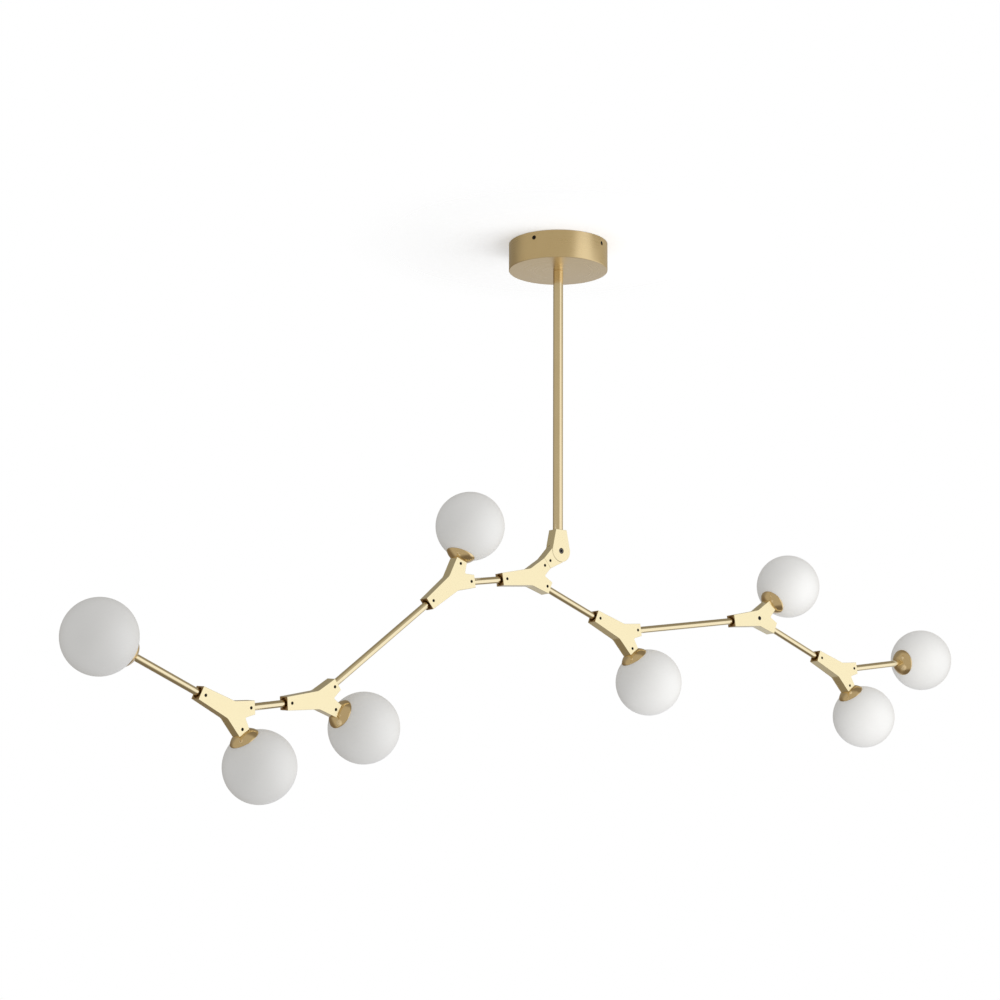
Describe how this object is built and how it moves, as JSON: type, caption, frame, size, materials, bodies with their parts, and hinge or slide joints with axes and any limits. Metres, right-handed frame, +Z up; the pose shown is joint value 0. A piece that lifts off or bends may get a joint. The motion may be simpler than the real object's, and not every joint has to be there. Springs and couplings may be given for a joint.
{
  "type": "branch chandelier",
  "caption": "Branched ceiling chandelier in satin brass: a round canopy and a down rod carry a hinged chain of Y forks and tubes that ends in opal glass globe lamps.",
  "frame": {"origin": "on the ceiling plane, at the centre of the canopy and of the bracket's bolt line", "axes": "+Z up into the ceiling, +X along the branch, -Y towards the side from which the branch is looked at"},
  "size_m": [1.6444, 0.1615, 0.8655],
  "materials": {
    "satin_brass": "satin brushed brass plate on the forks, the hinge and the covers",
    "brushed_brass": "fine brushed brass on the canopy, the rod, the tubes and the cups",
    "opal_glass": "satin opal white glass",
    "black_steel": "blackened socket screws",
    "grey_steel": "bare steel pivot screw",
    "zinc_steel": "zinc plated sheet steel",
    "ceramic": "unglazed white ceramic",
    "clear_glass": "clear glass capsule"
  },
  "bodies": {
    "ceiling": {"ceiling_bracket": "zinc_steel", "canopy": "brushed_brass", "ceiling_fasteners": "black_steel", "terminal_block": "ceramic", "down_rod": "brushed_brass", "hinge_upper": "satin_brass", "pivot_screw": "grey_steel"},
    "centre": {"hinge_lower": "satin_brass", "centre_fork": "satin_brass", "centre_cover": "satin_brass", "centre_screws": "black_steel", "centre_tubes": "brushed_brass"},
    "left_inner": {"left_inner_fork": "satin_brass", "left_inner_cover": "satin_brass", "left_inner_screws": "black_steel", "left_inner_tubes": "brushed_brass", "left_inner_cup": "brushed_brass", "left_inner_lampholder": "ceramic", "left_inner_bulb": "clear_glass", "left_inner_globe": "opal_glass"},
    "left_middle": {"left_middle_fork": "satin_brass", "left_middle_cover": "satin_brass", "left_middle_screws": "black_steel", "left_middle_tubes": "brushed_brass", "left_middle_cup": "brushed_brass", "left_middle_lampholder": "ceramic", "left_middle_bulb": "clear_glass", "left_middle_globe": "opal_glass"},
    "left_outer": {"left_outer_fork": "satin_brass", "left_outer_cover": "satin_brass", "left_outer_screws": "black_steel", "left_outer_tubes": "brushed_brass", "left_outer_cups": "brushed_brass", "left_outer_lampholders": "ceramic", "left_outer_bulbs": "clear_glass", "left_outer_globes": "opal_glass"},
    "right_inner": {"right_inner_fork": "satin_brass", "right_inner_cover": "satin_brass", "right_inner_screws": "black_steel", "right_inner_tubes": "brushed_brass", "right_inner_cup": "brushed_brass", "right_inner_lampholder": "ceramic", "right_inner_bulb": "clear_glass", "right_inner_globe": "opal_glass"},
    "right_middle": {"right_middle_fork": "satin_brass", "right_middle_cover": "satin_brass", "right_middle_screws": "black_steel", "right_middle_tubes": "brushed_brass", "right_middle_cup": "brushed_brass", "right_middle_lampholder": "ceramic", "right_middle_bulb": "clear_glass", "right_middle_globe": "opal_glass"},
    "right_outer": {"right_outer_fork": "satin_brass", "right_outer_cover": "satin_brass", "right_outer_screws": "black_steel", "right_outer_tubes": "brushed_brass", "right_outer_cups": "brushed_brass", "right_outer_lampholders": "ceramic", "right_outer_bulbs": "clear_glass", "right_outer_globes": "opal_glass"}
  },
  "joints": [
    {"name": "branch_tilt", "type": "hinge", "parent": "ceiling", "child": "centre", "pos_m": [0, 0, -0.474], "axis": [0, 1, 0], "range_deg": [-38, 14]},
    {"name": "left_inner_turn", "type": "hinge", "parent": "centre", "child": "left_inner", "pos_m": [-0.05479, 0, -0.51837], "axis": [0.9877, 0, 0.1564], "range_deg": [-170, 170]},
    {"name": "left_middle_turn", "type": "hinge", "parent": "left_inner", "child": "left_middle", "pos_m": [-0.19504, 0, -0.54058], "axis": [0.7771, 0, 0.6293], "range_deg": [-170, 170]},
    {"name": "left_outer_turn", "type": "hinge", "parent": "left_middle", "child": "left_outer", "pos_m": [-0.41808, 0, -0.7212], "axis": [0.9846, 0.0696, 0.1602], "range_deg": [-170, 170]},
    {"name": "right_inner_turn", "type": "hinge", "parent": "centre", "child": "right_inner", "pos_m": [0.11792, 0, -0.58467], "axis": [0.9336, 0, -0.3584], "range_deg": [-170, 170]},
    {"name": "right_middle_turn", "type": "hinge", "parent": "right_inner", "child": "right_middle", "pos_m": [0.40139, 0, -0.53977], "axis": [0.9877, 0, 0.1564], "range_deg": [-170, 170]},
    {"name": "right_outer_turn", "type": "hinge", "parent": "right_middle", "child": "right_outer", "pos_m": [0.58157, 0, -0.60893], "axis": [0.9336, 0, -0.3584], "range_deg": [-170, 170]}
  ]
}
